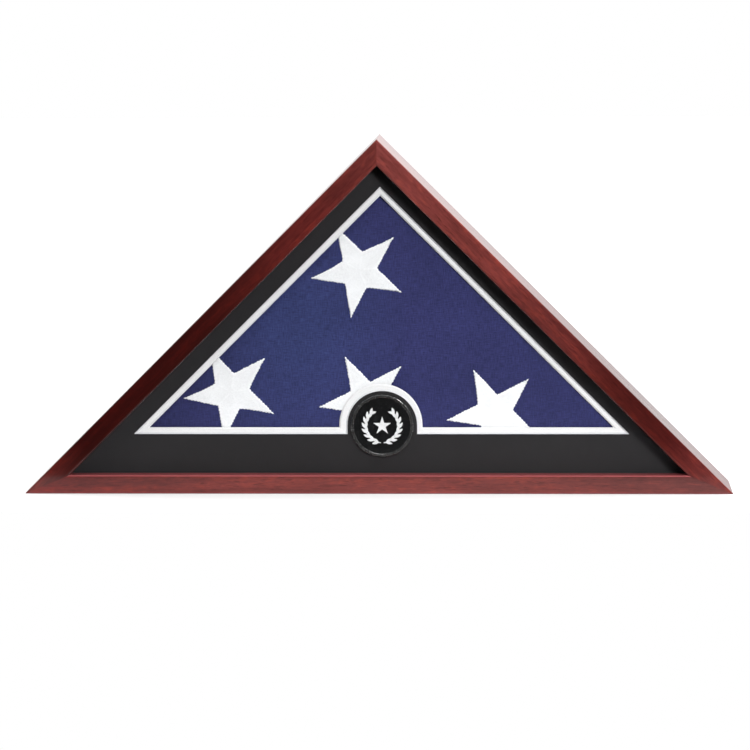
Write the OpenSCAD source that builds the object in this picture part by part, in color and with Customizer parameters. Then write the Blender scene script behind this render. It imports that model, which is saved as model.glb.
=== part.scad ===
// Triangular display case for a folded flag.
//
// Three mitred boards make a right-angled frame that stands on its long base.
// A glass pane lies behind the frame's front lip.  Behind it come a spacer, a
// black mat with a round tab for a medallion, and a white mat that shows as a
// narrow border.  Liners along the inside walls hold that stack forward.  The
// folded flag fills the middle, and a hardboard back closes the case under
// turn buttons.
//
// +Z is up, +X runs along the base and -Y faces the viewer.  The origin is the
// middle of the base rail's underside, halfway through the case's depth.
// "Depth" below is counted from the front face towards the back, and "inset"
// from the case's outer faces towards its middle.

/* [Case] */
// Length of the base, corner to corner
case_w = 680; // [672:1:700]
// Depth from the front face to the back face
case_d = 85; // [84:0.5:96]
// Radius on the three outer corners
corner_r = 0.3; // [0.3:0.1:2]

/* [Rails] */
// Inset of the front lip's inner edge, which is the width seen from the front
lip_w = 18; // [17:0.5:20]
// Thickness of the front lip
lip_t = 15; // [12:0.5:17]
// Thickness of the wall behind the lip
wall_t = 13; // [12:0.5:14]
// Width of the strip left beside the back panel
strip_w = 9; // [8.8:0.1:10]
// Radius on the outer edges, front and back
outer_arris = 1.2; // [0.5:0.1:2]
// Radius on the lip's inner front edge
inner_arris = 1.8; // [0.5:0.1:2]

/* [Glass and mats] */
// Thickness of the glass
glass_t = 2; // [2:0.5:3]
// Thickness of the spacer between glass and mat
spacer_t = 3.5; // [3.2:0.1:5]
// Thickness of each mat board
mat_t = 1.4; // [1:0.1:2]
// Height of the black mat's window edge above the underside, at its front face
window_z = 55.1; // [52:0.1:60]
// Half the length of the black mat's window along its bottom, at its front face
window_half = 238.3; // [230:0.1:240]
// White border from the black mat's front edge to the white mat's back edge
reveal = 6.2; // [5:0.1:9]
// How far the windows and the medallion's tab sit to the right of centre
window_shift = 2.4; // [0:0.1:3]
// Radius of the black mat's round tab, at its front face
tab_r = 33.5; // [32:0.1:36]
// Height of the tab's centre above the underside
tab_z = 63.4; // [62:0.1:68]
// How far the black tab's centre sits to the right of the window's centre
tab_shift = 1.2; // [0:0.1:3]
// How far the white border round the tab sits to the left of the black tab
border_shift = 1.4; // [0:0.1:2]

/* [Medallion] */
// Outer radius of the medallion's rim
medal_r = 30.25; // [28:0.25:31]
// Radius of the flat face inside the rim
medal_face_r = 27.1; // [25:0.1:27.5]
// Thickness of the medallion from its back to the top of the rim
medal_t = 2.5; // [2:0.1:2.6]

/* [Flag] */
// Length of the folded flag's long edge
flag_w = 573; // [540:1:575]
// Thickness of the folded flag
flag_t = 55.6; // [45:0.1:55.6]
// Radius of a star, centre to tip
star_r = 46.5; // [40:0.5:50]
// Direction of one tip of every star, anticlockwise from +X
star_turn = 44.5; // [36:0.5:54]

/* [Back] */
// Thickness of the back panel
panel_t = 3; // [2.5:0.1:3]
// Width of a turn button
button_w = 8.4; // [7:0.1:8.6]
// Length of a turn button from its pivot to its tip
button_reach = 22; // [16:0.5:26]
// Thickness of a turn button
button_t = 1.2; // [1:0.1:1.6]

/* [Hidden] */
$fn = 64;
ARC_STEPS = 6;
CUT = 1; // how far a cutter runs past the face that it opens
COT_BASE = 1 + sqrt(2); // cotangent of half a base corner, 22.5 degrees

// play left between the parts
stack_play = 0.5; // glass and mats in their rabbet
spacer_play = 0.2; // spacers against the wall
spacer_hide = 0.5; // how far the spacers stay behind the lip's edge
star_play = 0.5; // white mat to the stars
flag_play = 0.4; // folded flag above the base liner
panel_play = 0.6; // back panel in its rabbet
panel_slack = 0.5; // depth of the back rabbet past the panel's thickness
panel_lift = 0.3; // panel off the rabbet's floor
button_play = 0.3; // turn button off the back
head_play = 0.2; // screw head off the turn button

// depths of the stack's faces
glass_v = lip_t;
spacer_v = glass_v + glass_t;
black_v = spacer_v + spacer_t;
white_v = black_v + mat_t;
liner_v = white_v + mat_t;
rabbet_v = case_d - panel_t - panel_slack;
panel_v = rabbet_v + panel_lift;
star_v = liner_v + star_play;
star_t = 0.6;
flag_v = star_v + star_t;
button_v = case_d + button_play;
head_v = button_v + button_t + head_play;

// insets of what lies inside the walls
stack_inset = wall_t + stack_play;
spacer_inset = wall_t + spacer_play;
spacer_edge = lip_w - spacer_hide;
panel_inset = strip_w + panel_play;
panel_corner_r = 5;
flag_z = lip_w + flag_play;
flag_corner_r = 6;

tab_x = window_shift + tab_shift;
tab_border = 6.6; // width of the white border round the tab

// medallion's stack
pad_t = 0.4;
pad_r = medal_r - 4;
medal_back_v = black_v - pad_t;
medal_floor_h = 1.1;
medal_disc_t = 0.5;
medal_rim_round = 1.1;
medal_rim_bevel = 0.6;
emblem_t = 0.35;
disc_top_v = medal_back_v - medal_floor_h - medal_disc_t;
emblem_star_r = 9;
wreath_r = 16.5;
wreath_leaves = 8;
wreath_start = 14; // from straight down to the first pair of leaves, degrees
wreath_step = 17.5; // between pairs of leaves, degrees
wreath_stem_w = 0.8;
wreath_gap = 5; // from straight down to a stem's foot, degrees
wreath_tip = 3; // how far a stem runs past its last leaves, degrees
wreath_stem_steps = 24;
leaf_len = 7;
leaf_half_w = 1.35;
leaf_splay = 27;
leaf_root = 1; // length of a leaf's root, laid across the stem

// centres of the four stars, above the underside and across from the middle
STARS = [[-18.4, 212.6], [-142, 95.5], [-11.4, 87.6], [111.4, 75.2]];

// turn buttons: the rail, the pivot's place along it, and which way along the
// rail the button points when it is open
button_pivot_u = 4.6;
BUTTONS = [
    ["base", -150, 1],
    ["base", 150, -1],
    ["left", 120, -1],
    ["left", -120, 1],
    ["right", 120, -1],
    ["right", -120, 1],
];
button_screw_r = 1.5;
button_bore_r = button_screw_r + 0.05;
button_screw_len = 14;
button_head_r = 2.9;
button_head_t = 1.7;
button_head_round = 1;
button_slot_w = 0.9;
button_slot_len = 3.2;
button_slot_d = 0.9;

// nails that hold the mitres and the liners
v_nail_leg = 4;
v_nail_t = 0.6;
v_nail_len = 10;
v_nail_base_s = 15; // from a base corner to the nail's point, along the mitre
v_nail_apex_s = 5; // the same from the top corner
brad_v = 56;
brad_r = 0.6;
brad_head_r = 1.3;
brad_head_t = 0.5;
brad_len = 13;
BRADS = [["base", -180], ["base", 180], ["left", -110], ["left", 130], ["right", -110], ["right", 130]];

// ---- outlines ----

function arc(c, r, a0, a1, steps = ARC_STEPS) = [
    for (i = [0:steps])
        let (a = a0 + (a1 - a0) * i / steps)
        c + r * [cos(a), sin(a)]
];

// A right-angled triangle standing on its long edge, with its corners rounded
function round_tri(half, base, r) = concat(
    arc([-half + r * COT_BASE, base + r], r, 135, 270),
    arc([half - r * COT_BASE, base + r], r, 270, 405),
    arc([0, base + half - r * sqrt(2)], r, 45, 135)
);

function tri(half, base) = [[-half, base], [half, base], [0, base + half]];

// Half the long edge of the case's outline after moving every side inwards
function half_at(inset) = case_w / 2 - inset * COT_BASE;

// The same for the mats' window
function window_half_at(inset) = window_half - inset * COT_BASE;

function star_points(r, turn) = [
    for (i = [0:9])
        let (a = turn + 36 * i, rr = i % 2 == 0 ? r : r * sin(18) / sin(54))
        rr * [cos(a), sin(a)]
];

// A leaf: two arcs that meet in a point at each end
function leaf_points(len, half_w) = [
    for (i = [0:5]) [len * i / 5, half_w * sin(180 * i / 5)],
    for (i = [4:-1:1]) [len * i / 5, -half_w * sin(180 * i / 5)],
];

// ---- placing ----

// Draws a flat outline standing up, x across and y upwards, and thickens it
// backwards from a depth
module layer(depth, thick) {
    translate([0, depth + thick - case_d / 2, 0])
        rotate([90, 0, 0])
            linear_extrude(thick)
                children();
}

function side_len(side) = side == "base" ? case_w : case_w / sqrt(2);

// Moves something drawn on the base rail, with z as its inset, to a side.
// On the two legs, +X runs down from the top corner.
module on_side(side) {
    if (side == "base")
        children();
    if (side == "left")
        translate([-case_w / 4, 0, case_w / 4])
            rotate([0, 135, 0])
                children();
    if (side == "right")
        mirror([1, 0, 0])
            on_side("left")
                children();
}

// Places something at a depth and an inset, its own z pointing backwards
module on_back(side, along, inset, depth) {
    on_side(side)
        translate([along, depth - case_d / 2, inset])
            rotate([-90, 0, 0])
                children();
}

// Places something on a side's wall, its own z pointing out through the wall
module through_wall(side, along, inset, depth) {
    on_side(side)
        translate([along, depth - case_d / 2, inset])
            rotate([180, 0, 0])
                children();
}

// A bar with mitred ends, between two insets and two depths
module mitred_bar(side, inset0, inset1, depth0, depth1) {
    half = side_len(side) / 2;
    top_cot = side == "base" ? COT_BASE : 1;
    on_side(side)
        layer(depth0, depth1 - depth0)
            polygon([
                [-half + inset0 * top_cot, inset0],
                [half - inset0 * COT_BASE, inset0],
                [half - inset1 * COT_BASE, inset1],
                [-half + inset1 * top_cot, inset1],
            ]);
}

// ---- rails ----

// The rail's section, depth across and inset upwards
module rail_section() {
    polygon(concat(
        arc([outer_arris, outer_arris], outer_arris, 270, 180),
        arc([inner_arris, lip_w - inner_arris], inner_arris, 180, 90),
        [
            [lip_t, lip_w],
            [lip_t, wall_t],
            [rabbet_v, wall_t],
            [rabbet_v, strip_w],
            [case_d, strip_w],
        ],
        arc([case_d - outer_arris, outer_arris], outer_arris, 0, -90)
    ));
}

module rail(side) {
    len = side_len(side);
    difference() {
        intersection() {
            on_side(side)
                translate([-len / 2, -case_d / 2, 0])
                    rotate([90, 0, 90])
                        linear_extrude(len)
                            rail_section();
            mitred_bar(side, 0, lip_w + CUT, -CUT, case_d + CUT);
            layer(-CUT, case_d + 2 * CUT)
                polygon(round_tri(case_w / 2, 0, corner_r));
        }
        v_nails(CUT);
        for (b = BUTTONS)
            if (b[0] == side)
                on_back(b[0], b[1], button_pivot_u, case_d - button_screw_len)
                    cylinder(h = button_screw_len + CUT, r = button_screw_r);
        for (b = BRADS)
            if (b[0] == side)
                through_wall(b[0], b[1], wall_t + CUT, brad_v)
                    cylinder(h = brad_len - (lip_w - wall_t) + CUT, r = brad_r);
    }
}

module left_rail() color([0.34, 0.08, 0.07]) rail("left");
module right_rail() color([0.46, 0.17, 0.15]) rail("right");
module base_rail() color([0.50, 0.26, 0.24]) rail("base");

// A nail bent to a V, its point on the mitre line, outwards
module v_nail(extra) {
    w = v_nail_t * sqrt(2);
    leg = v_nail_leg;
    translate([0, case_d / 2 + extra, 0])
        rotate([90, 0, 0])
            linear_extrude(v_nail_len + extra)
                polygon([[0, 0], [leg, leg], [leg, leg - w], [w, 0], [leg, w - leg], [leg, -leg]]);
}

module v_nails(extra) {
    for (side = [-1, 1])
        translate([side * case_w / 2, 0, 0])
            rotate([0, side < 0 ? -22.5 : -157.5, 0])
                translate([v_nail_base_s, 0, 0])
                    v_nail(extra);
    translate([0, 0, case_w / 2])
        rotate([0, 90, 0])
            translate([v_nail_apex_s, 0, 0])
                v_nail(extra);
}

module mitre_v_nails() color([0.62, 0.62, 0.64]) v_nails(0);

// ---- glass, spacers and mats ----

module glass_pane() color([0.85, 0.93, 0.92, 0.25])
    layer(glass_v, glass_t)
        polygon(tri(half_at(stack_inset), stack_inset));

module glass_spacer(side) color([0.07, 0.07, 0.08])
    mitred_bar(side, spacer_inset, spacer_edge, spacer_v, black_v);

module glass_spacer_left() glass_spacer("left");
module glass_spacer_right() glass_spacer("right");
module glass_spacer_base() glass_spacer("base");

// A cutter for a mat's window.  The window's edges slope in at 45 degrees
// towards the back, and the round tab stands up into it, growing as much.
module window_cutter(depth, front_inset, front_tab_r, tab_at) {
    back_inset = front_inset + mat_t + CUT;
    back_half = window_half_at(back_inset);
    front_half = window_half_at(front_inset - CUT);
    incentre_h = back_half / COT_BASE;
    front_y = depth - case_d / 2;
    difference() {
        translate([window_shift, front_y + mat_t + CUT, window_z + back_inset + incentre_h])
            rotate([90, 0, 0])
                linear_extrude(mat_t + 2 * CUT, scale = front_half / back_half)
                    polygon(tri(back_half, -incentre_h));
        translate([tab_at, front_y + mat_t + 2 * CUT, tab_z])
            rotate([90, 0, 0])
                cylinder(
                    h = mat_t + 4 * CUT,
                    r1 = front_tab_r + mat_t + 2 * CUT,
                    r2 = front_tab_r - 2 * CUT,
                    $fn = 96
                );
        translate([tab_at, front_y, 0])
            linear_extrude(tab_z)
                tab_section(front_tab_r);
    }
}

// The tab's upright sides seen from above, past both faces of the mat
module tab_section(front_r) {
    front = 2 * CUT;
    back = mat_t + 2 * CUT;
    polygon([
        [front - front_r, -front],
        [front_r - front, -front],
        [front_r + back, back],
        [-front_r - back, back],
    ]);
}

// A mat board cut to the rabbet, with its bevelled window
module mat_board(depth, front_inset, front_tab_r, tab_at) {
    difference() {
        layer(depth, mat_t)
            polygon(tri(half_at(stack_inset), stack_inset));
        window_cutter(depth, front_inset, front_tab_r, tab_at);
    }
}

module black_mat() color([0.16, 0.15, 0.16])
    mat_board(black_v, 0, tab_r, tab_x);

module white_mat() color([0.94, 0.94, 0.93])
    mat_board(white_v, reveal - mat_t, tab_r + tab_border - mat_t, tab_x - border_shift);

// ---- medallion ----

// Places something on the medallion's axis, its own z pointing to the viewer
module on_medallion(depth) {
    translate([tab_x, depth - case_d / 2, tab_z])
        rotate([90, 0, 0])
            children();
}

module medallion_pad() color([0.80, 0.80, 0.78])
    on_medallion(black_v)
        cylinder(h = pad_t, r = pad_r);

// A shallow dish with a rounded rim
module medallion_cup() color([0.05, 0.05, 0.06])
    on_medallion(medal_back_v)
        rotate_extrude()
            polygon(concat(
                [[0, 0], [medal_r, 0]],
                arc([medal_r - medal_rim_round, medal_t - medal_rim_round], medal_rim_round, 0, 90),
                [[medal_face_r + medal_rim_bevel, medal_t], [medal_face_r, medal_t - medal_rim_bevel]],
                [[medal_face_r, medal_floor_h], [0, medal_floor_h]]
            ));

module medallion_disc() color([0.03, 0.03, 0.035])
    on_medallion(medal_back_v - medal_floor_h)
        cylinder(h = medal_disc_t, r = medal_face_r);

// The wreath's left branch: a curved stem with pairs of leaves
module laurel_branch() {
    start = -90 - wreath_gap;
    end = -90 - wreath_start - wreath_step * (wreath_leaves - 1) - wreath_tip;
    polygon(concat(
        arc([0, 0], wreath_r + wreath_stem_w / 2, start, end, wreath_stem_steps),
        arc([0, 0], wreath_r - wreath_stem_w / 2, end, start, wreath_stem_steps)
    ));
    for (i = [0:wreath_leaves - 1])
        for (tilt = [-1, 1])
            rotate(-90 - wreath_start - wreath_step * i)
                translate([wreath_r, 0])
                    rotate(-90 + tilt * leaf_splay)
                        translate([-leaf_root, 0])
                            polygon(leaf_points(leaf_len, leaf_half_w));
}

// A plain star between two laurel branches
module medallion_emblem() color([0.92, 0.92, 0.90])
    on_medallion(disc_top_v)
        linear_extrude(emblem_t) {
            polygon(star_points(emblem_star_r, 90));
            for (flip = [0, 1])
                mirror([flip, 0])
                    laurel_branch();
        }

// ---- liners ----

module liner(side) color([0.78, 0.66, 0.48])
    difference() {
        mitred_bar(side, wall_t, lip_w, liner_v, rabbet_v);
        for (b = BRADS)
            if (b[0] == side)
                brad(b, CUT);
    }

module left_liner() liner("left");
module right_liner() liner("right");
module base_liner() liner("base");

// A brad whose head is flush with the liner's face
module brad(place, extra) {
    through_wall(place[0], place[1], lip_w + extra, brad_v) {
        cylinder(h = brad_head_t + extra, r = brad_head_r);
        cylinder(h = brad_len + extra, r = brad_r);
    }
}

module liner_brads() color([0.72, 0.70, 0.66])
    for (b = BRADS)
        brad(b, 0);

// ---- flag ----

module folded_flag() color([0.16, 0.16, 0.42])
    layer(flag_v, flag_t)
        polygon(round_tri(flag_w / 2, flag_z, flag_corner_r));

module flag_stars() color([0.95, 0.95, 0.96])
    for (s = STARS)
        layer(star_v, star_t)
            translate(s)
                polygon(star_points(star_r, star_turn));

// ---- back ----

module back_panel() color([0.36, 0.25, 0.16])
    layer(panel_v, panel_t)
        polygon(round_tri(half_at(panel_inset), panel_inset, panel_corner_r));

// A flat bar with round ends that turns on a screw, lying open along its rail
module turn_button(i) color([0.72, 0.72, 0.70]) {
    place = BUTTONS[i];
    r = button_w / 2;
    on_back(place[0], place[1], button_pivot_u, button_v)
        difference() {
            linear_extrude(button_t) {
                circle(r = r);
                translate([place[2] * (button_reach - r), 0])
                    circle(r = r);
                translate([min(0, place[2] * (button_reach - r)), -r])
                    square([button_reach - r, button_w]);
            }
            translate([0, 0, -CUT])
                cylinder(h = button_t + 2 * CUT, r = button_bore_r);
        }
}

module turn_button_1() turn_button(0);
module turn_button_2() turn_button(1);
module turn_button_3() turn_button(2);
module turn_button_4() turn_button(3);
module turn_button_5() turn_button(4);
module turn_button_6() turn_button(5);

// Pan-head screws with a cross recess, one through each turn button
module turn_button_screws() color([0.75, 0.74, 0.70])
    for (b = BUTTONS)
        on_back(b[0], b[1], button_pivot_u, case_d - button_screw_len)
            button_screw();

module button_screw() {
    head_h = head_v - case_d + button_screw_len;
    difference() {
        union() {
            cylinder(h = head_h, r = button_screw_r);
            translate([0, 0, head_h])
                rotate_extrude()
                    polygon(concat(
                        [[0, 0], [button_head_r, 0]],
                        [[button_head_r, button_head_t - button_head_round]],
                        arc(
                            [button_head_r - button_head_round, button_head_t - button_head_round],
                            button_head_round, 15, 90
                        ),
                        [[0, button_head_t]]
                    ));
        }
        for (a = [0, 90])
            rotate(a)
                translate([-button_slot_len / 2, -button_slot_w / 2, head_h + button_head_t - button_slot_d])
                    cube([button_slot_len, button_slot_w, button_slot_d + CUT]);
    }
}

left_rail();
right_rail();
base_rail();
mitre_v_nails();
glass_pane();
glass_spacer_left();
glass_spacer_right();
glass_spacer_base();
black_mat();
white_mat();
medallion_pad();
medallion_cup();
medallion_disc();
medallion_emblem();
left_liner();
right_liner();
base_liner();
liner_brads();
folded_flag();
flag_stars();
back_panel();
turn_button_screws();
turn_button_1();
turn_button_2();
turn_button_3();
turn_button_4();
turn_button_5();
turn_button_6();
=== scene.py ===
"""Looks for the folded flag display case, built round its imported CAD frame.

Everything is in metres in the CAD's own frame: +Z up, -Y towards the viewer, the origin in the
middle of the base rail's underside and halfway through the case's depth.
"""
import math

import bmesh
import bpy
import numpy as np
from mathutils import Matrix, Vector, noise
from mathutils.bvhtree import BVHTree

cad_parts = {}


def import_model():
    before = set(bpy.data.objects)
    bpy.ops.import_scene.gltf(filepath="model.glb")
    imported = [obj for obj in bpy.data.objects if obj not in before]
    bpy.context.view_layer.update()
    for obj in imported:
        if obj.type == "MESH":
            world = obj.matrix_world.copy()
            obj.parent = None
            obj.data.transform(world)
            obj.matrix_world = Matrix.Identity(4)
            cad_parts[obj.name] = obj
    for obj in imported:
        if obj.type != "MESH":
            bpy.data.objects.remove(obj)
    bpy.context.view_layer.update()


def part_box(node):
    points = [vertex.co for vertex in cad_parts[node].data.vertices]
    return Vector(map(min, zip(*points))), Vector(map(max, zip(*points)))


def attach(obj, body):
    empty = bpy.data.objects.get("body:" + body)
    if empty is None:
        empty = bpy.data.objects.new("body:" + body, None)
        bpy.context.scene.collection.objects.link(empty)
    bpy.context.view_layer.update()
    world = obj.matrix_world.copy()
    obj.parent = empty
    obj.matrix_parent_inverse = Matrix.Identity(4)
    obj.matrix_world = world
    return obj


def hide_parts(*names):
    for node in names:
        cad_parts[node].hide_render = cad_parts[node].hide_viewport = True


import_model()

MM = 0.001
CASE_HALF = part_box("base_rail")[1].x
LEG_HALF = CASE_HALF / math.sqrt(2)
LIP_WIDTH = 18 * MM  # the rails' lip, from the case's outline inwards
LIP_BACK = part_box("glass_pane")[0].y
COT_BASE = 1 + math.sqrt(2)  # cotangent of half a base corner


# ---- shader helpers -------------------------------------------------------------------------


def is_socket(value):
    return isinstance(value, bpy.types.NodeSocket)


class Shader:
    """A new material, with short ways to add nodes to it."""

    def __init__(self, name):
        self.material = bpy.data.materials.new(name)
        self.material.use_nodes = True
        self.tree = self.material.node_tree
        self.surface = self.tree.nodes["Principled BSDF"]

    def add(self, kind, inputs=(), **settings):
        """A node with its settings, and with each input set to a value or linked to a socket."""
        node = self.tree.nodes.new("ShaderNode" + kind)
        for key, value in settings.items():
            setattr(node, key, value)
        self.put(node, inputs)
        return node

    def put(self, node, inputs):
        for key, value in dict(inputs).items():
            if is_socket(value):
                self.tree.links.new(value, node.inputs[key])
            else:
                node.inputs[key].default_value = value

    def set(self, **inputs):
        """Sets the surface's inputs by name, with _ for a space and 3-part colours allowed."""
        for key, value in inputs.items():
            if isinstance(value, tuple) and len(value) == 3:
                value = (*value, 1)
            self.put(self.surface, {key.replace("_", " "): value})
        return self

    def place(self):
        """The point being shaded, as the piece lies at rest."""
        return self.add("TexCoord").outputs["Object"]

    def normal(self):
        """The surface's own direction as the piece lies at rest."""
        return self.add("TexCoord").outputs["Normal"]

    def scaled(self, vector, scale):
        return self.add("VectorMath", {0: vector, 1: scale}, operation="MULTIPLY").outputs[0]

    def moved(self, vector, offset):
        return self.add("VectorMath", {0: vector, 1: offset}, operation="ADD").outputs[0]

    def turned(self, vector, angle):
        """The vector turned about Y."""
        values = {"Vector": vector, "Axis": (0, 1, 0), "Angle": angle}
        return self.add("VectorRotate", values, rotation_type="AXIS_ANGLE").outputs[0]

    def noise(self, vector, scale=(1, 1, 1), detail=3.0, rough=0.55, warp=0.0):
        """Noise of about one blotch per 1/scale metres along each axis."""
        values = {"Vector": self.scaled(vector, scale), "Scale": 1.0}
        values.update({"Detail": detail, "Roughness": rough, "Distortion": warp})
        return self.add("TexNoise", values).outputs["Fac"]

    def ramp(self, factor, *stops):
        """A colour ramp through (place, colour) stops."""
        node = self.add("ValToRGB", {"Fac": factor})
        points = node.color_ramp.elements
        for i, (at, colour) in enumerate(stops):
            point = points[i] if i < 2 else points.new(at)
            point.position = at
            point.color = (*colour, 1)
        return node.outputs["Color"]

    def mix(self, factor, a, b, blend="MIX"):
        node = self.add("Mix", {0: factor}, data_type="RGBA", blend_type=blend)
        for index, value in ((6, a), (7, b)):
            if is_socket(value):
                self.tree.links.new(value, node.inputs[index])
            else:
                node.inputs[index].default_value = (*value, 1)
        return node.outputs[2]

    def shaded(self, colour, factor):
        """A colour made darker or lighter by a factor round 1."""
        grey = self.add("CombineColor", {0: factor, 1: factor, 2: factor}).outputs[0]
        return self.mix(1.0, colour, grey, "MULTIPLY")

    def math(self, operation, a, b=0.0):
        return self.add("Math", {0: a, 1: b}, operation=operation).outputs[0]

    def range(self, value, low, high, to_low=0.0, to_high=1.0):
        """The value's place between low and high, held to that stretch and put on a new scale."""
        values = {"Value": value, "From Min": low, "From Max": high, "To Min": to_low, "To Max": to_high}
        return self.add("MapRange", values).outputs[0]

    def axis(self, vector, name):
        return self.add("SeparateXYZ", {0: vector}).outputs[name]

    def bump(self, height, distance, strength=1.0):
        """A bumped normal, from a height of 0 to 1 that stands for a distance."""
        values = {"Height": height, "Distance": distance, "Strength": strength}
        return self.add("Bump", values).outputs[0]


def paint(names, shader):
    """Gives CAD nodes or pieces one material in place of what they had."""
    for name in names:
        data = bpy.data.objects[name].data
        data.materials.clear()
        data.materials.append(shader.material)


def ease_edges(names, width):
    """Rounds the sharp edges of CAD nodes a little, so that they catch the light."""
    for name in names:
        bevel = bpy.data.objects[name].modifiers.new("eased_edges", "BEVEL")
        bevel.width = width
        bevel.segments = 2
        bevel.limit_method = "ANGLE"
        bevel.angle_limit = math.radians(40)
        bevel.harden_normals = True


# ---- wood -----------------------------------------------------------------------------------

# The colour of each board, as (place along it from -1 to 1, colour) stops: the staining with painted
# sheen and painted reflection laid into it.  The left board is the darkest and the base the palest,
# partly staining and partly painted sheen and reflection, and both legs pale towards their mitres,
# painted reflection of the white table and painted light from above.
LEFT_TURN = math.pi / 4  # turns about Y that lay the legs' grain along X
RIGHT_TURN = -math.pi / 4
LEFT_STAIN_AND_SHEEN = [
    (-1.0, (0.1020, 0.0150, 0.0122)),
    (-0.85, (0.0600, 0.0070, 0.0056)),
    (-0.7, (0.0250, 0.0015, 0.0011)),
    (0.0, (0.0400, 0.0032, 0.0024)),
    (0.3, (0.0660, 0.0078, 0.0064)),
    (0.6, (0.1200, 0.0160, 0.0136)),
    (1.0, (0.1360, 0.0260, 0.0225)),
]
RIGHT_STAIN_AND_SHEEN = [
    (-1.0, (0.2150, 0.0450, 0.0400)),
    (-0.5, (0.1598, 0.0313, 0.0272)),
    (0.0, (0.1258, 0.0231, 0.0204)),
    (0.35, (0.0748, 0.0095, 0.0075)),
    (0.65, (0.0620, 0.0068, 0.0056)),
    (1.0, (0.1060, 0.0205, 0.0190)),
]
BASE_STAIN_AND_SHEEN = [
    (-1.0, (0.0930, 0.0100, 0.0090)),
    (-0.6, (0.1122, 0.0184, 0.0163)),
    (-0.2, (0.1394, 0.0245, 0.0211)),
    (0.2, (0.1462, 0.0272, 0.0238)),
    (1.0, (0.0920, 0.0170, 0.0150)),
]


def painted_lip_highlights(s, colour):
    """The base rail's staining with painted light on its front: painted highlights along the lip's two
    arrises, painted light over the top of the lip, and painted shade that darkens the front towards the
    lip.
    """
    # pink of the painted highlights and of the painted light on the lip
    highlight_pink = (0.30, 0.065, 0.070)
    at = s.place()
    height = s.axis(at, "Z")
    on_lip = s.range(s.axis(at, "Y"), LIP_BACK, LIP_BACK - 1 * MM)
    # painted highlight on the lip's inner arris and painted light over its top face
    inner = s.range(height, LIP_WIDTH - 1.6 * MM, LIP_WIDTH - 0.9 * MM)
    # a fainter painted highlight along the bottom arris
    outer = s.range(height, 2.4 * MM, 1.2 * MM, 0, 0.35)
    highlight_mask = s.math("MULTIPLY", on_lip, s.math("MAXIMUM", inner, outer))
    # painted shade: the front lighter at the bottom and darker towards the lip
    colour = s.shaded(colour, s.range(height, 0, LIP_WIDTH, 1.12, 0.88))
    return s.mix(s.math("MULTIPLY", highlight_mask, 0.8), colour, highlight_pink)


def stained_wood(name, turn, tones_and_sheen, gloss, seed):
    """Red-stained hardwood under satin lacquer, its grain along X after a turn about Y.

    Its colour stops, (place along the board from -1 to 1, colour), hold the staining with painted sheen
    and painted reflection in it, and gloss is the lacquer's weight, or its weights at the board's two
    ends.
    """
    s = Shader(name)
    at = s.turned(s.place(), turn)
    half = LEG_HALF if turn else CASE_HALF
    along = s.range(s.axis(at, "X"), -half, half)
    # the board's colour along it: staining with painted sheen and painted reflection in it
    stain_and_sheen = s.ramp(along, *((0.5 + place / 2, colour) for place, colour in tones_and_sheen))
    at = s.moved(at, (seed, seed / 2, seed / 3))
    bands = s.noise(at, (6, 80, 110), 5, 0.6, 0.5)
    fibres = s.noise(at, (30, 700, 900), 3, 0.6)
    flecks = s.noise(at, (90, 300, 340), 3, 0.6, 0.6)
    blotch = s.noise(at, (14, 20, 26), 2, 0.5)
    pores = s.range(s.noise(at, (120, 1800, 2200), 1, 0.5), 0.60, 0.70)
    shade = s.range(bands, 0.3, 0.7, 0.78, 1.22)
    shade = s.math("MULTIPLY", shade, s.range(fibres, 0.3, 0.7, 0.88, 1.12))
    shade = s.math("MULTIPLY", shade, s.range(blotch, 0.3, 0.7, 0.86, 1.16))
    shade = s.math("MULTIPLY", shade, s.range(flecks, 0.3, 0.7, 0.87, 1.13))
    colour = s.shaded(stain_and_sheen, shade)
    warm = s.range(s.math("MULTIPLY", flecks, bands), 0.25, 0.42, 0.0, 0.7)
    colour = s.mix(warm, colour, s.mix(1.0, colour, (1.5, 1.25, 0.95), "MULTIPLY"))
    colour = s.mix(s.math("MULTIPLY", pores, 0.5), colour, (0.012, 0.002, 0.002))
    # the base rail gets painted highlights and painted shade along its lip
    if not turn:
        colour = painted_lip_highlights(s, colour)
    height = s.math("SUBTRACT", s.math("MULTIPLY", fibres, 0.4), pores)
    return s.set(
        Base_Color=colour,
        Roughness=s.range(fibres, 0.3, 0.7, 0.36, 0.5),
        Specular_IOR_Level=0.04,
        Coat_Weight=s.range(along, 0, 1, *gloss) if isinstance(gloss, tuple) else gloss,
        Coat_Roughness=0.12,
        Coat_IOR=1.36,
        Normal=s.bump(height, 0.015 * MM, 0.4),
    )


def raw_wood(name, turn, seed):
    """Unfinished pine, its grain along X after a turn about Y."""
    s = Shader(name)
    at = s.moved(s.turned(s.place(), turn), (seed, 0, 0))
    rings = s.noise(at, (4, 130, 160), 4, 0.6, 0.7)
    fibres = s.noise(at, (40, 1500, 1500), 2, 0.6)
    colour = s.ramp(
        rings,
        (0.32, (0.50, 0.33, 0.17)),
        (0.55, (0.66, 0.49, 0.29)),
        (0.72, (0.72, 0.57, 0.37)),
    )
    colour = s.shaded(colour, s.range(fibres, 0.3, 0.7, 0.85, 1.1))
    return s.set(Base_Color=colour, Roughness=0.75, Normal=s.bump(fibres, 0.08 * MM, 0.6))


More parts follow.
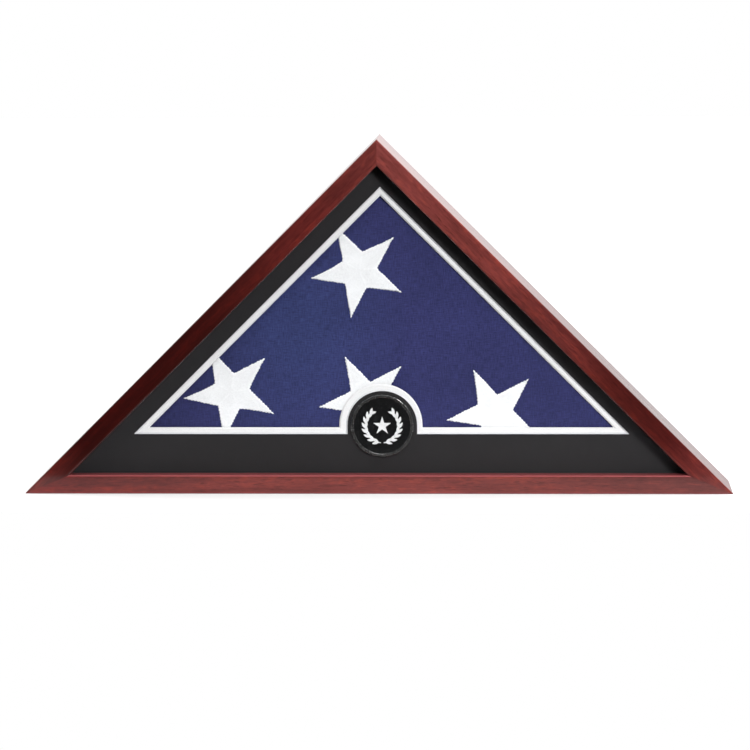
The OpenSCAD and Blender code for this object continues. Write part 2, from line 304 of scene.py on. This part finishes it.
def hardboard():
    """Brown pressed fibre, smooth and a little shiny, with darker and lighter fibres in it."""
    s = Shader("hardboard")
    at = s.place()
    fibre = s.noise(at, (500, 500, 500), 4, 0.7, 1.5)
    cloud = s.noise(at, (18, 18, 18), 3, 0.6)
    specks = s.range(s.noise(at, (900, 900, 900), 1, 0.5), 0.66, 0.72)
    colour = s.ramp(
        fibre,
        (0.3, (0.095, 0.048, 0.022)),
        (0.5, (0.17, 0.090, 0.044)),
        (0.7, (0.27, 0.155, 0.080)),
    )
    colour = s.shaded(colour, s.range(cloud, 0.3, 0.7, 0.82, 1.15))
    colour = s.mix(s.math("MULTIPLY", specks, 0.6), colour, (0.04, 0.02, 0.01))
    return s.set(
        Base_Color=colour,
        Roughness=s.range(fibre, 0.3, 0.7, 0.42, 0.6),
        Normal=s.bump(fibre, 0.06 * MM, 0.6),
    )


def dress_wood():
    paint(["left_rail"], stained_wood("left_rail_wood", LEFT_TURN, LEFT_STAIN_AND_SHEEN, 1.0, 0))
    paint(["right_rail"], stained_wood("right_rail_wood", RIGHT_TURN, RIGHT_STAIN_AND_SHEEN, (1.0, 0.38), 3.3))
    paint(["base_rail"], stained_wood("base_rail_wood", 0, BASE_STAIN_AND_SHEEN, 0.9, 7.1))
    paint(["left_liner"], raw_wood("left_liner_pine", LEFT_TURN, 1.7))
    paint(["right_liner"], raw_wood("right_liner_pine", RIGHT_TURN, 4.1))
    paint(["base_liner"], raw_wood("base_liner_pine", 0, 9.4))
    paint(["back_panel"], hardboard())


# ---- mats, glass and spacers ----------------------------------------------------------------


def mat_board(name, face, back, core, mottle):
    """Mat board: textured paper on its two faces, and its core bare at the bevelled edges."""
    s = Shader(name)
    at = s.place()
    facing = s.axis(s.normal(), "Y")
    tooth = s.noise(at, (1300, 1300, 1300), 2, 0.6)
    felt = s.noise(at, (420, 420, 420), 3, 0.6, 0.4)
    cloud = s.noise(at, (9, 9, 9), 2, 0.5)
    paper = s.mix(s.range(facing, 0.0, 0.1), face, back)
    paper = s.shaded(paper, s.range(felt, 0.3, 0.7, 1 - mottle, 1 + mottle))
    paper = s.shaded(paper, s.range(cloud, 0.3, 0.7, 1 - mottle / 2, 1 + mottle / 2))
    flat = s.range(s.math("ABSOLUTE", facing), 0.88, 0.95)
    pulp = s.shaded(core, s.range(tooth, 0.3, 0.7, 0.96, 1.03))
    colour = s.mix(flat, pulp, paper)
    height = s.math("ADD", s.math("MULTIPLY", tooth, 0.5), s.math("MULTIPLY", felt, 0.5))
    return s.set(
        Base_Color=colour,
        Roughness=s.range(felt, 0.3, 0.7, 0.78, 0.92),
        Specular_IOR_Level=0.2,
        Normal=s.bump(height, 0.03 * MM, 0.4),
    )


def clear_pane():
    """Low-reflection glazing: clear from the front, and mirroring more at a slant."""
    s = Shader("clear_pane")
    haze = s.noise(s.place(), (40, 40, 40), 4, 0.6)
    slant = s.math("POWER", s.add("LayerWeight", {"Blend": 0.5}).outputs["Facing"], 5)
    mirror = s.range(slant, 0, 1, 0.003, 0.5)
    clear = s.add("BsdfTransparent", {"Color": (0.992, 0.996, 0.994, 1)})
    gloss = s.add("BsdfGlossy", {"Color": (1, 1, 1, 1), "Roughness": s.range(haze, 0.3, 0.7, 0.0, 0.02)})
    join = s.add("MixShader", {0: mirror, 1: clear.outputs[0], 2: gloss.outputs[0]})
    s.tree.links.new(join.outputs[0], s.tree.nodes["Material Output"].inputs["Surface"])
    s.tree.nodes.remove(s.surface)
    return s


def spacer_plastic():
    """Black ribbed plastic strip."""
    s = Shader("spacer_plastic")
    grain = s.noise(s.place(), (900, 900, 900), 3, 0.6)
    colour = s.shaded((0.012, 0.012, 0.013), s.range(grain, 0.3, 0.7, 0.8, 1.2))
    return s.set(Base_Color=colour, Roughness=0.55, Normal=s.bump(grain, 0.03 * MM, 0.6))


def dress_stack():
    paint(["glass_pane"], clear_pane())
    backing = (0.60, 0.58, 0.53)
    black = mat_board("black_mat_paper", (0.0215, 0.0200, 0.0215), backing, (0.68, 0.68, 0.70), 0.1)
    white = mat_board("white_mat_paper", (0.83, 0.82, 0.83), backing, (0.82, 0.81, 0.82), 0.025)
    paint(["black_mat"], black)
    paint(["white_mat"], white)
    paint([f"glass_spacer_{side}" for side in ("left", "right", "base")], spacer_plastic())


# ---- medallion ------------------------------------------------------------------------------


def foam():
    """White closed-cell foam tape."""
    s = Shader("foam_pad")
    cells = s.add("TexVoronoi", {"Vector": s.place(), "Scale": 1600.0}).outputs["Distance"]
    colour = s.shaded((0.62, 0.62, 0.60), s.range(cells, 0.0, 0.6, 0.8, 1.05))
    return s.set(Base_Color=colour, Roughness=0.85, Normal=s.bump(cells, 0.1 * MM, 0.7))


def gunmetal():
    """The medallion's rim: black nickel with fine hammering."""
    s = Shader("gunmetal")
    at = s.place()
    grain = s.noise(at, (700, 700, 700), 3, 0.6)
    tarnish = s.noise(at, (90, 90, 90), 3, 0.6)
    colour = s.shaded((0.042, 0.041, 0.041), s.range(tarnish, 0.3, 0.7, 0.8, 1.25))
    return s.set(
        Base_Color=colour,
        Metallic=0.3,
        Roughness=s.range(tarnish, 0.3, 0.7, 0.2, 0.3),
        Coat_Weight=1.0,
        Coat_Roughness=0.05,
        Normal=s.bump(grain, 0.03 * MM, 0.4),
    )


def enamel(name, colour, rough, coat):
    """Hard enamel, very slightly uneven."""
    s = Shader(name)
    waves = s.noise(s.place(), (240, 240, 240), 2, 0.5)
    body = s.shaded(colour, s.range(waves, 0.3, 0.7, 0.94, 1.05))
    return s.set(
        Base_Color=body,
        Roughness=s.range(waves, 0.3, 0.7, rough, rough + 0.06),
        Coat_Weight=coat,
        Coat_Roughness=0.06,
        Normal=s.bump(waves, 0.04 * MM, 0.35),
    )


def dress_medallion():
    paint(["medallion_pad"], foam())
    paint(["medallion_cup"], gunmetal())
    paint(["medallion_disc"], enamel("black_enamel", (0.0045, 0.0045, 0.005), 0.2, 0.35))
    paint(["medallion_emblem"], enamel("white_enamel", (0.80, 0.80, 0.81), 0.3, 0.7))
    ease_edges(["medallion_emblem"], 0.1 * MM)


# ---- fasteners ------------------------------------------------------------------------------


def steel(name, colour, rough, scratch):
    """Rolled or plated steel: fine scratches along one way and a cloudy sheen."""
    s = Shader(name)
    at = s.place()
    lines = s.noise(at, scratch, 3, 0.6)
    cloud = s.noise(at, (160, 160, 160), 3, 0.6)
    body = s.shaded(colour, s.range(cloud, 0.3, 0.7, 0.85, 1.1))
    return s.set(
        Base_Color=body,
        Metallic=1.0,
        Roughness=s.range(lines, 0.3, 0.7, rough, rough + 0.16),
        Normal=s.bump(lines, 0.02 * MM, 0.4),
    )


def dress_fasteners():
    buttons = [f"turn_button_{i}" for i in range(1, 7)]
    paint(buttons, steel("button_steel", (0.62, 0.61, 0.58), 0.3, (400, 400, 3000)))
    paint(["turn_button_screws"], steel("screw_steel", (0.66, 0.64, 0.58), 0.24, (1500, 1500, 1500)))
    paint(["mitre_v_nails"], steel("nail_steel", (0.42, 0.42, 0.43), 0.35, (900, 900, 900)))
    paint(["liner_brads"], steel("brad_steel", (0.60, 0.58, 0.53), 0.3, (900, 900, 900)))
    ease_edges(buttons, 0.2 * MM)


# ---- flag -----------------------------------------------------------------------------------

FLAG_CORNER = 6 * MM
FLAG_AROUND = 480  # points round the bundle
FLAG_FOLDS = 9  # turns of cloth seen at the edges
RINGS_A_FOLD = 6
FACE_RINGS = 48  # rings from the edge to the middle of a face
FLAG_DROP = 6 * MM  # how far the front falls back from its crown to its rim
BACK_DROP = 4 * MM  # the most that the back falls
RIM_INSET = 3 * MM  # how far a face stops inside the bundle's outline
RIM_ROLL = 2.5 * MM  # how far a face turns over at its rim
RIM_SHARPNESS = 14
RIPPLE = 0.3 * MM  # long and short ripples of the front, and the ripples of the back
FINE_RIPPLE = 0.1 * MM
BACK_RIPPLE = 0.5 * MM
MAT_HOLD = 8 * MM  # how far in from the rim the mats hold the front ply flat
SLOUCH = 2.4 * MM  # how far the front ply falls away along the left leg
TUCK = 1.6 * MM  # height of the last flap's edge, across the back
FOLD_DEPTH = 3.2 * MM  # depth of the grooves between turns
FOLD_WANDER = 2.6 * MM  # how unevenly the turns lie over each other
FOLD_FRAY = 0.4 * MM  # small unevenness of the turns
FOLD_SAG = 0.5 * MM
CLEAR = 0.2  # far enough along Y to look at the bundle from outside it


def rounded_triangle(half, base, radius, count):
    """Even points round a right-angled triangle that stands on its long edge."""
    corners = [
        (-half + radius * COT_BASE, base + radius, 135, 270),
        (half - radius * COT_BASE, base + radius, 270, 405),
        (0, base + half - radius * math.sqrt(2), 45, 135),
    ]
    points = []
    for x, z, start, end in corners:
        for angle in np.radians(np.linspace(start, end, 12)):
            points.append((x + radius * math.cos(angle), z + radius * math.sin(angle)))
    loop = np.array(points + points[:1])
    travel = np.concatenate([[0], np.cumsum(np.hypot(*np.diff(loop, axis=0).T))])
    even = np.linspace(0, travel[-1], count, endpoint=False)
    return np.column_stack([np.interp(even, travel, loop[:, i]) for i in (0, 1)])


def loft(name, rings, cap_last=True):
    """A mesh object through rings of equally many points, each ring an array of x, y and z."""
    bm = bmesh.new()
    loops = [[bm.verts.new(p) for p in ring] for ring in rings]
    for a, b in zip(loops, loops[1:]):
        for i in range(len(a)):
            j = (i + 1) % len(a)
            bm.faces.new((a[i], a[j], b[j], b[i]))
    bm.faces.new(loops[0][::-1])
    if cap_last:
        bm.faces.new(loops[-1])
    bmesh.ops.recalc_face_normals(bm, faces=bm.faces)
    mesh = bpy.data.meshes.new(name)
    bm.to_mesh(mesh)
    bm.free()
    mesh.shade_smooth()
    piece = bpy.data.objects.new(name, mesh)
    bpy.context.scene.collection.objects.link(piece)
    return piece


def surface_of(piece):
    depsgraph = bpy.context.evaluated_depsgraph_get()
    return BVHTree.FromObject(piece, depsgraph)


def puffed(outline, centre, front, back):
    """Inflates a slightly smaller bundle as cloth, and returns its surface."""
    start_scale = 0.94
    slack = 5 * MM
    most_move = 9 * MM
    flat = centre + (outline[::4] - centre) * start_scale
    ends = [front + slack, back - slack]
    piece = loft("flag_puff", [np.insert(flat, 1, y, axis=1) for y in ends])
    bpy.context.view_layer.objects.active = piece
    remesh = piece.modifiers.new("remesh", "REMESH")
    remesh.mode = "VOXEL"
    remesh.voxel_size = 5.5 * MM
    bpy.ops.object.modifier_apply(modifier="remesh")
    before = np.array([v.co for v in piece.data.vertices])
    cloth = piece.modifiers.new("cloth", "CLOTH")
    cloth.settings.quality = 4
    cloth.settings.mass = 0.2
    cloth.settings.tension_stiffness = 12
    cloth.settings.compression_stiffness = 6
    cloth.settings.bending_stiffness = 0.4
    cloth.settings.use_pressure = True
    cloth.settings.uniform_pressure_force = 4
    cloth.settings.effector_weights.gravity = 0
    for step in range(1, 21):
        bpy.context.scene.frame_set(step)
    bpy.ops.object.modifier_apply(modifier="cloth")
    bpy.context.scene.frame_set(1)
    after = np.array([v.co for v in piece.data.vertices])
    move = after - before
    reach = np.linalg.norm(move, axis=1, keepdims=True)
    after = before + move * np.minimum(1, most_move / np.maximum(reach, 1e-9))
    piece.data.vertices.foreach_set("co", after.ravel())
    piece.data.update()
    surface = surface_of(piece)
    bpy.data.objects.remove(piece)
    return surface


def depth_at(surface, x, z, from_y, way):
    """Where a line along Y first meets a surface, or None."""
    hit = surface.ray_cast(Vector((x, from_y, z)), Vector((0, way, 0)))
    return hit[0].y if hit[0] is not None else None


def ripple(x, z, scale, seed):
    return noise.noise(Vector((x * scale, seed, z * scale)))


def flag_bundle():
    """The folded flag: a triangular bundle of folded turns of cloth, crowned on both faces."""
    low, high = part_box("folded_flag")
    half = high.x + FLAG_CORNER * math.sqrt(2)
    outline = rounded_triangle(half, low.z, FLAG_CORNER, FLAG_AROUND)
    inradius = half / COT_BASE
    centre = np.array([0, low.z + inradius])
    shape = puffed(outline, centre, low.y, high.y)
    crown_front = depth_at(shape, *centre, -CLEAR, 1)
    crown_back = depth_at(shape, *centre, CLEAR, -1)
    rim_scale = 1 - RIM_INSET / inradius

    def face(front):
        rings = []
        for k in range(1, FACE_RINGS + 1):
            out = k / FACE_RINGS
            flat = centre + (outline - centre) * rim_scale * out ** 0.9
            roll = RIM_ROLL * out ** RIM_SHARPNESS
            ys = []
            for x, z in flat:
                if front:
                    y = depth_at(shape, x, z, -CLEAR, 1)
                    fall = FLAG_DROP if y is None else max(0.0, y - crown_front)
                    fall = min(fall, FLAG_DROP) * (1 - pressed(x, z))
                    fall += RIPPLE * (1 + ripple(x, z, 14, 3))
                    fall += FINE_RIPPLE * (1 + ripple(x, z, 45, 8))
                    fall += roll + slouch(x, z)
                    ys.append(low.y + fall)
                else:
                    y = depth_at(shape, x, z, CLEAR, -1)
                    fall = FLAG_DROP if y is None else max(0.0, crown_back - y)
                    fall = BACK_DROP * (1 - math.exp(-fall / BACK_DROP))
                    fall += BACK_RIPPLE * (1 + ripple(x, z, 16, 5))
                    fall += roll + tuck(x, z)
                    ys.append(high.y - fall)
            rings.append(np.insert(flat, 1, ys, axis=1))
        return rings

    def pressed(x, z):
        """How far the mats hold the front ply flat: 1 in the middle and 0 at the rim."""
        height = z - low.z
        from_rim = min(height, (half - abs(x) - height) / math.sqrt(2))
        return 1 / (1 + math.exp((MAT_HOLD - from_rim) / (1.4 * MM)))

    def slouch(x, z):
        """The front ply falls away softly along the left leg."""
        from_leg = (x + half - (z - low.z)) / math.sqrt(2)
        return SLOUCH / (1 + math.exp((from_leg - 20 * MM) / (9 * MM)))

    def tuck(x, z):
        """The step where the last flap is tucked in, across the back."""
        past = (x * 0.55 + (z - 0.11) * 0.84) / (4 * MM)
        return TUCK / (1 + math.exp(-past))

    front_rings = face(True)
    back_rings = face(False)
    y0 = front_rings[-1][:, 1]
    y1 = back_rings[-1][:, 1]
    sides = []
    steps = FLAG_FOLDS * RINGS_A_FOLD
    for k in range(1, steps):
        fold, part = divmod(k, RINGS_A_FOLD)
        bulge = math.sin(math.pi * part / RINGS_A_FOLD) ** 0.6 if part else 0.0
        ring = []
        for i, (x, z) in enumerate(outline):
            wander = 0.5 + 0.5 * ripple(x, z, 9, fold * 7.3)
            fine = 0.5 + 0.5 * ripple(x, z, 60, fold * 3.1)
            wander = wander if fold else 0.0
            inset = FOLD_WANDER * wander + FOLD_FRAY * fine + FOLD_DEPTH * (1 - bulge)
            sag = FOLD_SAG * ripple(x, z, 12, 40 + fold) if k < steps - 1 else 0.0
            scale = 1 - inset / inradius
            px, pz = centre + (np.array((x, z)) - centre) * scale
            ring.append((px, y0[i] + (y1[i] - y0[i]) * k / steps + sag, pz))
        sides.append(np.array(ring))
    piece = loft("flag_cloth", front_rings + sides + back_rings[::-1])
    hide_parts("folded_flag")
    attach(piece, "flag")
    return piece


def flag_weave():
    """Blue cotton in a plain weave: threads across and upright, each a little different, with painted
    shade towards the left.
    """
    s = Shader("flag_blue_weave")
    at = s.place()
    facing = s.math("ABSOLUTE", s.axis(s.normal(), "Y"))
    on_face = s.range(facing, 0.45, 0.55)
    x = s.axis(at, "X")
    up = s.add("Mix", {0: on_face, 2: s.axis(at, "Y"), 3: s.axis(at, "Z")}, data_type="FLOAT").outputs[0]
    thread = 2 * math.pi / (0.9 * MM)
    warp = s.math("SINE", s.math("MULTIPLY", x, thread))
    weft = s.math("SINE", s.math("MULTIPLY", up, thread))
    weave = s.range(s.math("MULTIPLY", warp, weft), -1, 1)
    cloth = s.add("CombineXYZ", {0: x, 1: 0.0, 2: up}).outputs[0]
    slub_up = s.noise(cloth, (1400, 1, 130), 2, 0.6)
    slub_across = s.noise(s.moved(cloth, (3, 0, 5)), (130, 1, 1400), 2, 0.6)
    wash = s.noise(cloth, (16, 1, 16), 3, 0.55)
    shade = s.range(s.math("ADD", slub_up, slub_across), 0.7, 1.3, 0.60, 1.40)
    shade = s.math("MULTIPLY", shade, s.range(weave, 0, 1, 0.90, 1.10))
    shade = s.math("MULTIPLY", shade, s.range(wash, 0.3, 0.7, 0.88, 1.12))
    # the blue is paler and bluer in a patch left of the middle
    from_patch = s.scaled(s.moved(at, (0.08, 0, -0.16)), (1, 0, 0.8))
    away = s.add("VectorMath", {0: from_patch}, operation="LENGTH").outputs["Value"]
    blue_with_patch = s.mix(s.range(away, 0.02, 0.11), (0.0320, 0.0420, 0.140), (0.0290, 0.0310, 0.116))
    # painted shade: the blue darkens towards the left, where the flag's face turns away from the key
    # light
    colour = s.shaded(blue_with_patch, s.math("MULTIPLY", shade, s.range(x, -0.2, -0.08, 0.84, 1.0)))
    height = s.math("ADD", s.math("MULTIPLY", weave, 0.5), s.math("ADD", slub_up, slub_across))
    return s.set(
        Base_Color=colour,
        Roughness=s.range(slub_across, 0.3, 0.7, 0.8, 0.92),
        Specular_IOR_Level=0.2,
        Sheen_Weight=0.12,
        Sheen_Roughness=0.5,
        Sheen_Tint=(0.6, 0.65, 1.0, 1.0),
        Normal=s.bump(height, 0.12 * MM, 0.6),
    )


# ---- stars ----------------------------------------------------------------------------------

STAR_RINGS = 26
STAR_SIDE_POINTS = 22  # points along each of a star's ten sides
STAR_BORDER = 2.0 * MM  # width of the stitched border
STAR_STITCH = 0.4 * MM  # how far the stitches run in and out at the edge
STAR_STRAY = 0.5 * MM  # how far the edge wanders
STAR_WARP = 1.2 * MM  # how far the whole star is pulled out of shape
STAR_SEAM = 0.8 * MM  # half the width of the seams
EDGE_LIFT = 0.15 * MM  # the edge's height over the cloth
FACE_LIFT = 0.20 * MM  # what the face, border, seams and puckers add to it
BORDER_LIFT = 0.14 * MM
SEAM_LIFT = 0.10 * MM
PUCKER = 0.10 * MM
SKIRT = 0.2 * MM  # how far each ring round the edge goes down into the cloth
MOST_LIFT = 0.6 * MM


def star_places():
    """Centre, radius and tip direction of each star in the CAD."""
    bm = bmesh.new()
    bm.from_mesh(bpy.data.objects["flag_stars"].data)
    bmesh.ops.remove_doubles(bm, verts=bm.verts, dist=0.01 * MM)
    left = set(bm.verts)
    places = []
    while left:
        island, reach = set(), [left.pop()]
        while reach:
            vert = reach.pop()
            island.add(vert)
            for edge in vert.link_edges:
                other = edge.other_vert(vert)
                if other in left:
                    left.discard(other)
                    reach.append(other)
        flat = np.array([(v.co.x, v.co.z) for v in island])
        middle = flat.mean(axis=0)
        arms = flat - middle
        tip = arms[np.hypot(*arms.T).argmax()]
        places.append((middle, float(np.hypot(*tip)), math.atan2(tip[1], tip[0])))
    bm.free()
    return sorted(places, key=lambda p: (p[0][0], p[0][1]))


def star_outline(radius, turn, seed):
    """Even points round a plain star, and how far its stitched edge strays from each."""
    notch = radius * math.sin(math.radians(18)) / math.sin(math.radians(54))
    corners = []
    for i in range(11):
        angle = turn + math.radians(36) * i
        reach = notch if i % 2 else radius
        corners.append(np.array((reach * math.cos(angle), reach * math.sin(angle))))
    points, strays = [], []
    for i, (a, b) in enumerate(zip(corners, corners[1:])):
        along = (b - a) / np.linalg.norm(b - a)
        outward = np.array((along[1], -along[0]))
        for k in range(STAR_SIDE_POINTS):
            part = k / STAR_SIDE_POINTS
            stitch = STAR_STITCH * (1 if k % 2 else -1) if k else 0.0
            stray = STAR_STRAY * noise.noise(Vector((i * 3.7 + part * 8, seed, 0)))
            points.append(a + (b - a) * part)
            strays.append(outward * (stitch + stray))
    return np.array(points), np.array(strays)


def above_cloth(cloth, x, z, height):
    """A point over the cloth's front, or over its nearest edge where x and z miss it."""
    y = depth_at(cloth, x, z, -CLEAR, 1)
    if y is not None:
        return Vector((x, y - height, z))
    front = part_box("folded_flag")[0].y
    near, normal = cloth.find_nearest(Vector((x, front + FLAG_DROP, z)))[:2]
    return near + normal * height


def embroidered_star(index, middle, radius, turn, cloth):
    """A white star sewn on: a soft face, with stitches round it and from its middle to its
    notches.  The attribute "stitching" runs from 0 on the ground to 1 on the border.
    """
    outline, strays = star_outline(radius, turn, index * 5.3)
    side_depth = radius * math.cos(math.radians(72))
    fifth = math.radians(72)
    notch_turn = turn + fifth / 2
    rings = []
    threads = []
    for k in range(STAR_RINGS + 2):
        part = min(1.0, (k + 1) / STAR_RINGS)
        border = math.exp(-(((1 - part) * side_depth / STAR_BORDER) ** 2))
        rim = 1 - math.exp(-((1 - part) * side_depth / (0.5 * MM)))
        ring = []
        for (px, pz), stray in zip(outline * part, strays * part ** 10):
            reach = math.hypot(px, pz)
            angle = (math.atan2(pz, px) - notch_turn) % fifth
            angle = min(angle, fifth - angle)
            off_seam = reach * math.sin(angle)
            seam = math.exp(-((off_seam / STAR_SEAM) ** 2)) * min(1, reach / (6 * MM)) * (1 - border)
            pucker = PUCKER * noise.noise(Vector((px * 90, pz * 90, index * 7)))
            height = EDGE_LIFT + rim * (FACE_LIFT + BORDER_LIFT * border + SEAM_LIFT * seam + pucker)
            if k >= STAR_RINGS:
                height = EDGE_LIFT - (k - STAR_RINGS + 1) * SKIRT
            warp = [noise.noise(Vector((px * 28, pz * 28, index * 5.3 + shift))) for shift in (0, 40)]
            x = middle[0] + px + stray[0] + STAR_WARP * part * warp[0]
            z = middle[1] + pz + stray[1] + STAR_WARP * part * warp[1]
            ring.append(above_cloth(cloth, x, z, min(height, MOST_LIFT)))
            threads.append(max(border, 0.6 * seam))
        rings.append(np.array(ring))
    piece = loft(f"sewn_star_{index}", rings, cap_last=False)
    layer = piece.data.attributes.new("stitching", "FLOAT", "POINT")
    layer.data.foreach_set("value", threads)
    return piece


def flag_stars(flag):
    """All four stars as one piece, following the flag's front."""
    cloth = surface_of(flag)
    stars = []
    for index, (middle, radius, turn) in enumerate(star_places()):
        stars.append(embroidered_star(index + 1, middle, radius, turn, cloth))
    with bpy.context.temp_override(active_object=stars[0], selected_editable_objects=stars):
        bpy.ops.object.join()
    piece = stars[0]
    piece.name = "sewn_stars"
    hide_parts("flag_stars")
    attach(piece, "flag")
    return piece


def star_thread():
    """White cotton: bright stitching over a slightly greyer ground."""
    s = Shader("star_white_thread")
    at = s.place()
    thread = 2 * math.pi / (0.7 * MM)
    warp = s.math("SINE", s.math("MULTIPLY", s.axis(at, "X"), thread))
    weft = s.math("SINE", s.math("MULTIPLY", s.axis(at, "Z"), thread))
    weave = s.range(s.math("MULTIPLY", warp, weft), -1, 1)
    fuzz = s.noise(at, (500, 500, 500), 3, 0.6)
    cloud = s.noise(at, (60, 60, 60), 3, 0.6)
    stitching = s.add("Attribute", attribute_name="stitching").outputs["Fac"]
    ground = s.shaded((0.90, 0.90, 0.92), s.range(cloud, 0.3, 0.7, 0.95, 1.04))
    colour = s.mix(s.range(stitching, 0.15, 0.7), ground, (0.95, 0.95, 0.97))
    colour = s.shaded(colour, s.range(fuzz, 0.3, 0.7, 0.94, 1.04))
    height = s.math("ADD", s.math("MULTIPLY", weave, 0.5), fuzz)
    return s.set(
        Base_Color=colour,
        Roughness=0.85,
        Specular_IOR_Level=0.2,
        Sheen_Weight=0.15,
        Normal=s.bump(height, 0.12 * MM, 0.6),
    )


def dress_flag():
    flag = flag_bundle()
    paint([flag.name], flag_weave())
    stars = flag_stars(flag)
    paint([stars.name], star_thread())


# ---- stage ----------------------------------------------------------------------------------


EYE = (0.1352, -3.7298, 0.5797)
EYE_TURN = (2.137, -7.179, 0.277)  # yaw, pitch and roll in degrees, from level along +Y
LENS = 186.96  # in mm, on a sensor 36 mm wide


def camera():
    """The viewpoint: a long lens a little right of the middle and above it, turned slightly left."""
    data = bpy.data.cameras.new("camera")
    data.sensor_width = 36
    data.lens = LENS
    data.clip_end = 100
    eye = bpy.data.objects.new("camera", data)
    bpy.context.scene.collection.objects.link(eye)
    yaw, pitch, roll = (math.radians(a) for a in EYE_TURN)
    turn = Matrix.Rotation(yaw, 4, "Z") @ Matrix.Rotation(pitch, 4, "X") @ Matrix.Rotation(roll, 4, "Y")
    level = Matrix.Rotation(math.pi / 2, 4, "X")
    eye.matrix_world = Matrix.Translation(EYE) @ turn @ level
    bpy.context.scene.camera = eye


def lamp(name, place, target, size, power):
    data = bpy.data.lights.new(name, "AREA")
    data.shape = "RECTANGLE"
    data.size, data.size_y = size
    data.energy = power
    light = bpy.data.objects.new(name, data)
    bpy.context.scene.collection.objects.link(light)
    light.location = place
    light.rotation_euler = (Vector(target) - Vector(place)).to_track_quat("-Z", "Y").to_euler()


def world():
    """A white studio: bright behind and above the object, dim towards the viewer."""
    scene = bpy.context.scene
    scene.view_settings.view_transform = "Standard"
    studio = bpy.data.worlds.new("studio")
    scene.world = studio
    studio.use_nodes = True
    tree = studio.node_tree
    link = tree.links.new
    sky = tree.nodes["Background"]
    way = tree.nodes.new("ShaderNodeTexCoord")
    split = tree.nodes.new("ShaderNodeSeparateXYZ")
    link(way.outputs["Generated"], split.inputs[0])
    glow = tree.nodes.new("ShaderNodeMapRange")
    glow.interpolation_type = "SMOOTHSTEP"
    for key, value in {"From Min": -0.5, "From Max": 0.3, "To Min": 0.06, "To Max": 1.0}.items():
        glow.inputs[key].default_value = value
    link(split.outputs["Y"], glow.inputs["Value"])
    link(glow.outputs[0], sky.inputs["Strength"])
    sky.inputs["Color"].default_value = (1, 1, 1, 1)
    seen = tree.nodes.new("ShaderNodeBackground")
    seen.inputs["Color"].default_value = (1, 1, 1, 1)
    path = tree.nodes.new("ShaderNodeLightPath")
    join = tree.nodes.new("ShaderNodeMixShader")
    link(path.outputs["Is Camera Ray"], join.inputs[0])
    link(sky.outputs[0], join.inputs[1])
    link(seen.outputs[0], join.inputs[2])
    link(join.outputs[0], tree.nodes["World Output"].inputs["Surface"])


def floor():
    """A white table top that ends a little in front of the case.  It glows as well as taking light,
    evenly bright far out, and its glow is dimmer near the case, a painted shade round the case's foot.
    """
    reach = 6.0
    front = -0.15
    corners = [(-reach, front, 0), (reach, front, 0), (reach, reach, 0), (-reach, reach, 0)]
    mesh = bpy.data.meshes.new("floor")
    mesh.from_pydata(corners, [], [(0, 1, 2, 3)])
    ground = bpy.data.objects.new("floor", mesh)
    bpy.context.scene.collection.objects.link(ground)
    s = Shader("white_table")
    away = s.add("VectorMath", {0: s.scaled(s.place(), (0.5, 1, 1))}, operation="LENGTH").outputs["Value"]
    s.set(
        Base_Color=(0.6, 0.6, 0.6),
        Roughness=0.8,
        Emission_Color=(1.0, 1.0, 1.0),
        # painted shade: the glow is weaker close to the case
        Emission_Strength=s.range(away, 0.2, 1.5, 0.25, 0.75),
    )
    mesh.materials.append(s.material)


def lights():
    lamp("key", (0.68, -1.55, 0.80), (0, 0, 0.13), (0.45, 0.45), 28)
    lamp("overhead", (0.0, -0.75, 1.7), (0, 0, 0.1), (1.8, 0.8), 11)
    lamp("fill", (-1.6, -2.3, 1.5), (0, 0, 0.13), (1.2, 1.2), 6.4)
    lamp("top", (0.2, 0.35, 2.0), (0.1, 0.1, 0), (2.2, 1.6), 45)


camera()
world()
floor()
lights()
dress_wood()
dress_stack()
dress_medallion()
dress_fasteners()
dress_flag()
